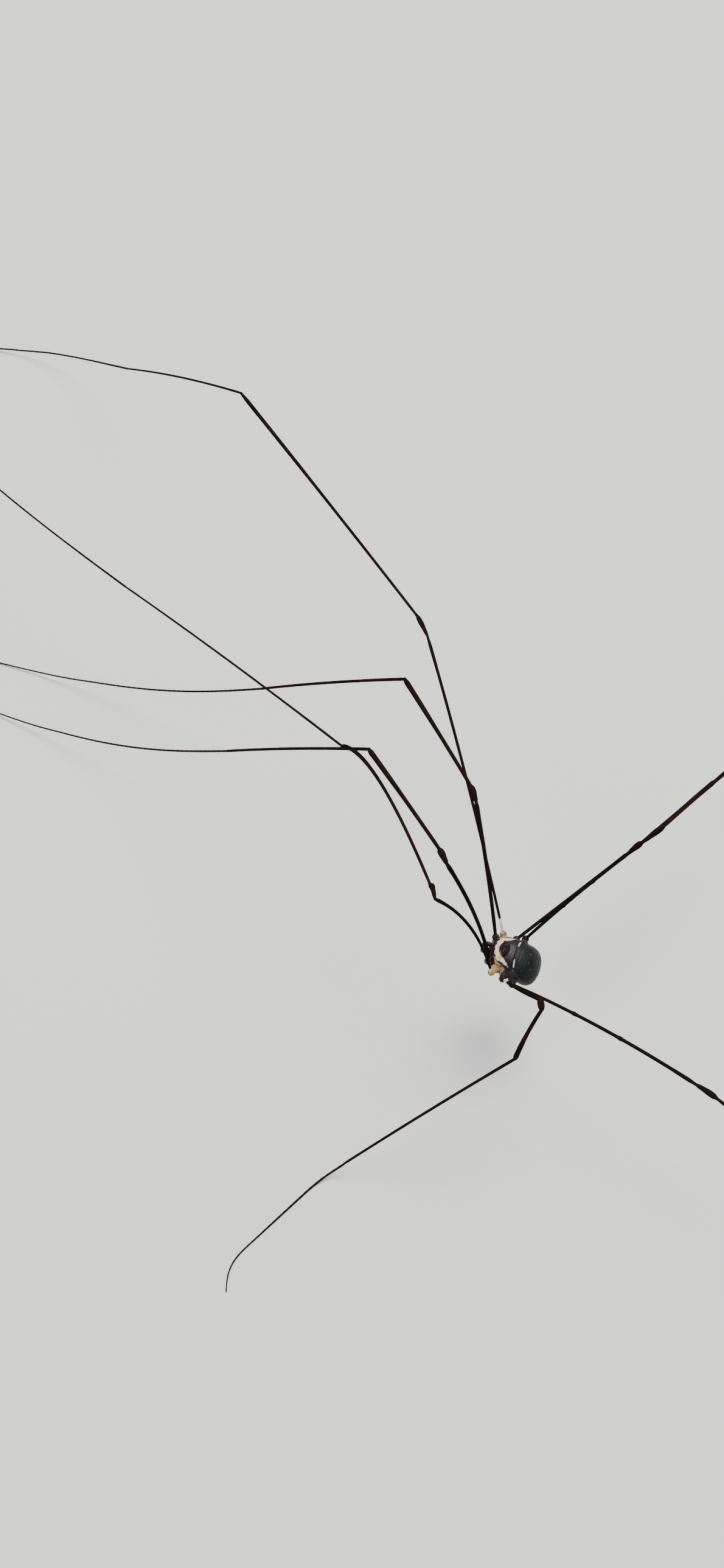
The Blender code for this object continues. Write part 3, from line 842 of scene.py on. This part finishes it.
def painted_areas(f):
    """How strongly each point carries each colour, from 0 to 1."""
    points = np.stack([f.ax, f.y, f.z], 1)
    plan = points[:, :2]

    distance, place = path_distance(plan, CREAM_BAND)
    half_width = np.interp(place, CREAM_PLACES, CREAM_HALF_WIDTHS)
    cream = area(distance, half_width, 0.28) * rise(f.z, 0.0, 0.25) * fall(place, 4.5, 0.5)
    # the band goes on behind as a faint lilac trail
    trail = area(distance, 0.1, 0.22) * f.on_back * rise(place, 2.8, 0.4) * fall(place, 4.9, 0.3)

    # painted highlight: a pale streak of glare along the shield's front corners, tapering at its ends
    distance, place = path_distance(plan, SHIELD_GLARE_STREAK)
    taper = np.interp(place, GLARE_STREAK_PLACES, GLARE_STREAK_TAPER)
    lilac = area(distance, 0.06 * taper, 0.2) * f.on_back * (0.35 + 0.65 * taper)
    lilac = np.maximum(lilac, 0.5 * trail)
    for spot_x, spot_y in PALE_SPOTS:
        from_spot = np.hypot(f.ax - spot_x, f.y - spot_y)
        lilac = np.maximum(lilac, area(from_spot, 0.03, 0.24) * f.on_back * 0.72)

    flank = fall(f.z, 0.42, 0.3) * fall(f.y, -0.55, 0.35) * rise(f.ax, 0.6, 0.3)
    underside = fall(f.z, -0.3, 0.3) * fall(f.y, 0.3, 0.6)
    tan = np.maximum(flank, underside) * rise(f.black_hip, 0.2, 0.2)
    for number, amount in TAN_LOST.items():
        tan *= 1.0 - amount * fall(f.near_coxa[number], 0.55, 0.15)

    below_shield = fall(f.z, f.edge_z - 0.02, 0.14) * f.behind
    below_carapace = (1.0 - f.behind) * fall(f.z, 0.3, 0.3)
    saddle = area(np.hypot(f.ax, (f.y + 0.85) * 1.6), 0.75, 0.5) * 0.7
    plum = np.clip(below_shield + below_carapace + saddle, 0.0, 1.0)

    from_mound = np.sqrt((f.ax / 0.7) ** 2 + ((f.y - EYE_MOUND_Y) / 0.44) ** 2)
    mound = area(from_mound, 1.0, 0.5) * (f.z > 0.45)
    snout = fall(f.y, -2.14, 0.14) * fall(f.z, 0.5, 0.2) * (f.ax < 1.1)
    first_coxae = fall(f.near_coxa[1], 0.55, 0.12) * fall(f.z, 0.34, 0.15)
    streak = 0.9 * area(path_distance(points, MAROON_STREAK)[0], 0.06, 0.2)
    patch = 0.95 * area(path_distance(plan, MAROON_PATCH)[0], 0.17, 0.25) * f.on_back
    hips = area(f.black_hip, 0.37, 0.14)
    maroon = np.maximum.reduce([mound, snout, first_coxae, streak, patch, hips])

    ahead_of_groove = bells(f.from_carapace + 0.13, 0.1) * f.on_back * rise(f.ax, 0.35, 0.3)
    # dark line along the groove at the shield's edge: a dark rim line with painted shade in the groove
    edge = bells(f.z - f.edge_z, 0.09) * f.behind
    rear_edge = rise(f.y, 1.85, 0.35) * fall(f.z, f.edge_z + 0.3, 0.2)
    dark = np.maximum.reduce([0.9 * ahead_of_groove, 0.75 * edge, 0.75 * rear_edge])
    return {"cream": cream, "lilac": lilac, "tan": tan, "plum": plum, "maroon": maroon, "dark": dark}


def build_body(mat):
    mesh = remeshed(body_shapes())
    co = vertex_values(mesh, "co")
    normals = vertex_values(mesh, "normal")
    fields = surface_fields(co, normals)
    mesh.vertices.foreach_set("co", carved(co, normals, fields).reshape(-1))
    verts = placed([v.co for v in mesh.vertices], BODY)
    faces = [tuple(p.vertices) for p in mesh.polygons]
    body = new_piece("body_skin", verts, faces, mat)
    for name, values in painted_areas(fields).items():
        set_attribute(body, name, values)
    coxae = [f"{side}_{n}_coxa" for side in ("left", "right") for n in (1, 2, 3, 4)]
    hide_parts("abdomen", "prosoma", *coxae)


def build_teeth(mat):
    """Small teeth on the eye mound, the carapace edge, the coxae and the trochanters."""
    verts = []
    faces = []
    for side in (1, -1):
        for k in range(9):
            turn = math.radians(-70 + 35 * k)
            base = Vector((side * (0.28 + 0.26 * math.cos(turn)), -1.43 + 0.23 * math.sin(turn), 0.9))
            way = Vector((side * 0.35 * math.cos(turn), 0.35 * math.sin(turn), 1.0)).normalized()
            cone(base, way, 0.12, 0.035, verts, faces)
        forward = Vector((0.0, -0.8, 0.6)).normalized()
        for k in range(7):
            base = Vector((side * (0.12 + 0.14 * k), -2.34 + 0.01225 * k * k, 0.26))
            cone(base, forward, 0.1, 0.03, verts, faces)
    for name in POSE:
        root = coxa_root(name)
        hip = hip_of(name)
        along = (hip - root).normalized()
        for edge in (1, -1):
            out = Vector((0.0, edge, -0.5)).normalized()
            out = (out - along * out.dot(along)).normalized()
            for k in range(8):
                share = 0.35 + 0.07 * k
                radius = np.interp(share, COXA_SHARES, COXA_RADII[pair_of(name)])
                cone(root.lerp(hip, share) + out * radius * 0.96, out, 0.06, 0.022, verts, faces)
        side_way = along.orthogonal().normalized()
        for k in range(10):
            turn = 2.0 * math.pi * k / 10.0
            out = side_way * math.cos(turn) + along.cross(side_way) * math.sin(turn)
            base = hip + out * (TROCHANTER_RADIUS - 0.02) + along * 0.08
            cone(base, (out + along * 0.3).normalized(), 0.06, 0.02, verts, faces)
    teeth = new_piece("body_teeth", placed(verts, BODY), faces, mat, smooth=False)


# Mouth parts and eyes


def build_chelicera(side, word, mat):
    """One pincer, with a waist at its joint and two fingers."""
    path = [(side * x, y, z) for x, y, z in CHELICERA_PATH]
    points, radii = curve_through(path, CHELICERA_RADII, 10)
    total = len(points)
    for i in range(total):
        radii[i] *= 1.0 - 0.16 * bell(i / (total - 1) - 0.5, 0.035)
    verts, faces, _ = tube(points, radii, MOUTH_SIDES)
    rings = [i // MOUTH_SIDES for i in range(len(verts))]
    dark = [1.0 - 0.15 * smoothstep(ring / total * 2 - 0.9) for ring in rings]
    root = Vector((side * PINCER_ROOT[0], *PINCER_ROOT[1:]))
    for inward, reach in PINCER_FINGERS:
        start = root + Vector((-side * 0.12 * inward, 0.0, 0.06))
        middle = start + Vector((side * 0.14 * inward, 0.06, -0.55 * reach))
        end = start + Vector((-side * 0.1 * inward, 0.16, -reach))
        finger, sizes = curve_through([start, middle, end], PINCER_RADII, 6)
        finger_verts, finger_faces, _ = tube(finger, sizes, 10)
        add_shape(verts, faces, finger_verts, finger_faces)
        dark.extend([0.95] * len(finger_verts))
    piece = new_piece(f"chelicera_{word}_skin", placed(verts, BODY), faces, mat)
    set_attribute(piece, "dark", dark)
    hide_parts(f"chelicera_{word}")


def build_pedipalp(side, word, mat, bristle_mat):
    """One pedipalp, narrowed and darkened at its joints, with claw and bristles."""
    path = [(side * x, y, z) for x, y, z in PEDIPALP_PATH]
    points, radii = curve_through(path, PEDIPALP_RADII, 12)
    total = len(points)
    for i in range(total):
        for at in PEDIPALP_JOINTS:
            radii[i] *= 1.0 - 0.2 * bell(i / (total - 1) - at, 0.016)
    verts, faces, frames = tube(points, radii, MOUTH_SIDES)
    dark = []
    for i in range(len(verts)):
        share = min(1.0, (i // MOUTH_SIDES) / (total - 1))
        near_joint = max(bell(share - at + 0.035, 0.03) for at in PEDIPALP_JOINTS)
        stripe = 0.35 if (i % MOUTH_SIDES) in (3, 4, 5, 6) else 0.0
        dark.append(min(1.0, 0.62 + 0.4 * near_joint + stripe))
    palp = new_piece(f"pedipalp_{word}_skin", placed(verts, BODY), faces, mat)
    set_attribute(palp, "dark", dark)
    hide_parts(f"pedipalp_{word}")

    verts = []
    faces = []
    end, way, normal, _, _ = frames[-1]
    cone(end, (way + normal * 0.25).normalized(), 0.14, 0.03, verts, faces)
    for _ in range(PEDIPALP_BRISTLES):
        i = int(len(frames) * (0.15 + 0.84 * rng.random()))
        p, t, n, b, r = frames[i]
        turn = rng.random() * 2.0 * math.pi
        out = n * math.cos(turn) + b * math.sin(turn)
        length = 0.09 + 0.06 * rng.random()
        cone(p + out * r * 0.97, (out + t * 0.7).normalized(), length, 0.008, verts, faces)
    bristles = new_piece(f"pedipalp_{word}_bristles", placed(verts, BODY), faces, bristle_mat, smooth=False)


def build_eye(side, word, mat):
    centre = (side * EYE_CENTRE[0], *EYE_CENTRE[1:])
    verts, faces = ball(centre, (EYE_RADIUS, EYE_RADIUS, EYE_RADIUS))
    eye = new_piece(f"eye_{word}_lens", placed(verts, BODY), faces, mat)
    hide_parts(f"eye_{word}")


# Legs


def arched(start, end, bow, count):
    """Points from start to end, arched up by a share of the distance."""
    chord = end - start
    along = chord.normalized()
    across = along.cross(UP).normalized()
    upward = across.cross(along)
    points = []
    for i in range(count + 1):
        t = i / count
        points.append(start + chord * t + upward * (4.0 * t * (1.0 - t) * bow * chord.length))
    return points


def foot_path(start, pose, length, side, raised):
    """Centreline of a foot, bent so that its end lies on the floor or stays raised."""
    first_azimuth, first_elevation = pose["metatarsus"]
    last_elevation = 0.0 if raised is None else raised

    def path(share):
        points = [start.copy()]
        for i in range(FOOT_STEPS):
            s = (i + 0.5) / FOOT_STEPS
            w = smoothstep(s / share)
            curled = pose["curl"] * smoothstep((s - CURL_FROM) / (1.0 - CURL_FROM))
            azimuth = first_azimuth + (pose["toe"] - first_azimuth) * w + curled
            elevation = first_elevation + (last_elevation - first_elevation) * w
            points.append(points[-1] + direction(azimuth, elevation, side) * (length / FOOT_STEPS))
        return points

    if raised is not None:
        return path(1.0)
    # the share of the foot over which it levels out, found by halving
    near = 0.02
    far = 1.0
    for _ in range(40):
        middle = 0.5 * (near + far)
        if path(middle)[-1].z > SOLID_FOOT_REST:
            near = middle
        else:
            far = middle
    return path(near)


def profile(part, t):
    """Radius of a segment at a share of its length."""
    stops = RADII[part]
    for (a, ra), (b, rb) in zip(stops[:-1], stops[1:]):
        if t <= b:
            return ra + (rb - ra) * smoothstep((t - a) / (b - a))
    return stops[-1][1]


def leg_lines(name):
    """Each segment of a leg with its centreline, from the trochanter out."""
    side = side_of(name)
    number = pair_of(name)
    pose = POSE[name]
    ways = {part: direction(*pose[part], side) for part in SEGMENTS[:4]}
    hip = BODY @ hip_of(name)
    knee = hip + ways["femur"] * FEMUR_LENGTH[number]
    patella_end = knee + ways["patella"] * PATELLA_LENGTH[number]
    ankle = patella_end + ways["tibia"] * TIBIA_LENGTH[number]
    heel = ankle + ways["metatarsus"] * METATARSUS_LENGTH[number]
    stations = (hip, knee, patella_end, ankle, heel)
    bows = (*pose["bow"], METATARSUS_BOW)
    lines = [(part, arched(a, b, bow, LEG_STEPS[part]))
             for part, a, b, bow in zip(SEGMENTS, stations[:-1], stations[1:], bows)]
    foot = foot_path(heel, pose, TARSUS_LENGTH[number], side, RAISED.get(name))
    foot, _ = curve_through(foot, [0.0] * len(foot), 18)
    # about five rings for each of the foot's joints
    foot_joints = int(TARSUS_LENGTH[number] / FOOT_JOINT)
    foot = foot[::max(1, round(len(foot) / (foot_joints * 5)))] + [foot[-1]]
    return lines + [("tarsus", foot)]


def leg_rings(name):
    """Every ring of a leg: its place, radius, paleness, warmth and segment."""
    number = pair_of(name)
    rings = []
    for part, line in leg_lines(name):
        count = len(line) - 1
        length = sum((b - a).length for a, b in zip(line[:-1], line[1:]))
        for i, point in enumerate(line):
            if i == 0 and part != "femur":
                continue
            t = i / count
            far = t * length
            radius = profile(part, t) * (1.0 if part == "tarsus" else STOUTNESS[number])
            pale = 0.0
            if part == "femur" and number == 4:
                near = min(abs(t - at) * length for at in NODULE_AT)
                radius *= 1.0 + NODULE_SWELLING * smoothstep(1.0 - near / NODULE_HALF_LENGTH)
            if part == "femur" and name in PALE_RING:
                centre, half = PALE_RING[name]
                pale = max(0.0, 1.1 - 0.6 * abs(far - centre) / half)
            if part == "patella" and t < 0.12:
                pale = 0.55 * (1.0 - t / 0.12)
            if part == "metatarsus":
                from_joint = (far % FALSE_JOINT_SPACING) - 0.5 * FALSE_JOINT_SPACING
                radius *= 1.0 - 0.07 * bell(from_joint, 0.07)
            if part == "tarsus":
                joint = (far / FOOT_JOINT) % 1.0
                radius *= 0.93 + 0.16 * joint - 0.16 * smoothstep((joint - 0.85) / 0.15)
            if part == "tarsus" and name not in RAISED:
                # the true foot is thinner than its solid, and lies as low
                drop = SOLID_FOOT_REST - radius
                near_floor = smoothstep(1.5 - (point.z - SOLID_FOOT_REST))
                point = point - Vector((0.0, 0.0, drop * near_floor))
            warmth, change = WARMTH[part]
            rings.append((point, radius, pale, warmth + change * t, part))
    return rings


def kept_off_floor(verts):
    for v in verts:
        v.z = max(v.z, 0.0)
    return verts


def build_leg_hairs(name, frames, parts, hair_mat, spine_mat):
    """Short spines down to the tibia, and fine hairs on what follows."""
    spine_verts = []
    spine_faces = []
    hair_verts = []
    hair_faces = []
    for part, (p, t, n, b, r) in zip(parts, frames):
        if part in SPINE_SHARE:
            for row in range(SPINE_ROWS):
                if rng.random() > SPINE_SHARE[part]:
                    continue
                turn = 2.0 * math.pi * (row + 0.25 * rng.random()) / SPINE_ROWS
                out = n * math.cos(turn) + b * math.sin(turn)
                way = (out + t * (0.6 + 0.3 * rng.random())).normalized()
                length = 0.045 + 0.02 * rng.random()
                cone(p + out * r * 0.95, way, length, 0.011, spine_verts, spine_faces)
            continue
        for _ in range(2):
            turn = 2.0 * math.pi * rng.random()
            out = n * math.cos(turn) + b * math.sin(turn)
            base = p + out * r * 0.95 + t * (0.05 * rng.random())
            way = (out * 0.8 + t).normalized()
            if (base + way * 0.12).z < FLOOR_CLEARANCE:
                continue
            cone(base, way, 0.08 + 0.06 * rng.random(), 0.006, hair_verts, hair_faces)
    spines = new_piece(f"{name}_spines", placed(spine_verts), spine_faces, spine_mat, smooth=False)
    hairs = new_piece(f"{name}_hairs", placed(hair_verts), hair_faces, hair_mat, smooth=False)


def build_claw(name, end, way, mat):
    sidewise = way.cross(UP).normalized()
    hook = [end - way * 0.03, end + way * 0.06 + sidewise * 0.02, end + way * 0.13 - UP * 0.02]
    points, sizes = curve_through(hook, (0.04, 0.03, 0.008), 5)
    verts, faces, _ = tube(points, sizes, 8)
    claw = new_piece(f"{name}_claw", placed(kept_off_floor(verts)), faces, mat)


def build_leg(name, mat, hair_mat, spine_mat):
    points, radii, pale, warm, parts = zip(*leg_rings(name))
    verts, faces, frames = tube(points, radii, LEG_SIDES)
    leg = new_piece(f"{name}_skin", placed(kept_off_floor(verts)), faces, mat)
    ring_of_vertex = [k for k in range(len(points)) for _ in range(LEG_SIDES)] + [0, len(points) - 1]
    set_attribute(leg, "pale", [pale[k] for k in ring_of_vertex])
    set_attribute(leg, "warm", [warm[k] for k in ring_of_vertex])
    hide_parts(*[f"{name}_{part}" for part in SEGMENTS])
    build_leg_hairs(name, frames, parts, hair_mat, spine_mat)
    build_claw(name, frames[-1][0], frames[-1][1], spine_mat)


# Stage, light and camera


def build_camera():
    az, el, roll = (math.radians(angle) for angle in CAMERA_FACING)
    level = Vector((math.cos(az), math.sin(az), 0.0))
    back = Vector((math.sin(az) * math.cos(el), -math.cos(az) * math.cos(el), math.sin(el)))
    upright = back.cross(level)
    right = level * math.cos(roll) + upright * math.sin(roll)
    up = upright * math.cos(roll) - level * math.sin(roll)
    view = Matrix((right, up, back))
    # turned so that the aim falls on its own pixel and not on the middle
    across = (AIM_PIXEL[0] - IMAGE[0] / 2) / FOCAL_PIXELS
    down = (AIM_PIXEL[1] - IMAGE[1] / 2) / FOCAL_PIXELS
    aim = Vector((across, -down, -1.0))
    aim.normalize()
    turn = Vector((0, 0, 1)).rotation_difference(-aim).to_matrix()
    rows = turn @ view
    place = Vector(CAMERA_AIM) - rows.transposed() @ (aim * CAMERA_DISTANCE)

    data = bpy.data.cameras.new("camera")
    data.sensor_fit = "AUTO"
    data.sensor_width = SENSOR_MM
    data.lens = FOCAL_PIXELS / IMAGE[1] * data.sensor_width
    data.clip_start = 0.005
    data.clip_end = 10.0
    camera = bpy.data.objects.new("camera", data)
    bpy.context.scene.collection.objects.link(camera)
    matrix = rows.transposed().to_4x4()
    matrix.translation = (place + SHIFT) * MM
    camera.matrix_world = matrix
    bpy.context.scene.camera = camera


def area_light(name, place, size, power, colour):
    data = bpy.data.lights.new(name, "AREA")
    data.shape = "DISK"
    data.size = size
    data.energy = power
    data.color = colour
    obj = bpy.data.objects.new(name, data)
    obj.location = place
    obj.rotation_euler = (Vector(LIGHT_AIM) - Vector(place)).to_track_quat("-Z", "Y").to_euler()
    bpy.context.scene.collection.objects.link(obj)


def build_stage():
    mesh = bpy.data.meshes.new("floor")
    s = FLOOR_HALF
    mesh.from_pydata([(-s, -s, 0), (s, -s, 0), (s, s, 0), (-s, s, 0)], [], [(0, 1, 2, 3)])
    mat, tree, shader = node_material("floor_paint", roughness=0.8, specular=0.2)
    shade = ramp(tree, noise_value(tree, scale=6.0, detail=2.0), FLOOR_PAINT)
    link(tree, shade, shader.inputs["Base Color"])
    mesh.materials.append(mat)
    floor = bpy.data.objects.new("floor", mesh)
    bpy.context.scene.collection.objects.link(floor)
    world = bpy.data.worlds.new("world")
    world.use_nodes = True
    background = world.node_tree.nodes["Background"]
    background.inputs["Color"].default_value = SKY_COLOUR
    background.inputs["Strength"].default_value = SKY_STRENGTH
    bpy.context.scene.world = world
    area_light("key", **KEY_LIGHT)
    area_light("fill", **FILL_LIGHT)


build_camera()
build_stage()
cuticle = body_material()
leg_cuticle = leg_material()
mouth_cuticle = mouth_material()
spine_horn = hair_material("spine_horn", SPINE_HORN)
fine_hair = hair_material("fine_hair", FINE_HAIR)
build_body(cuticle)
build_teeth(spine_horn)
for side_word, side_sign in (("left", 1), ("right", -1)):
    build_chelicera(side_sign, side_word, mouth_cuticle)
    build_pedipalp(side_sign, side_word, mouth_cuticle, spine_horn)
eye_lens = eye_material()
for side_word, side_sign in (("left", 1), ("right", -1)):
    build_eye(side_sign, side_word, eye_lens)
for leg_name in POSE:
    build_leg(leg_name, leg_cuticle, fine_hair, spine_horn)
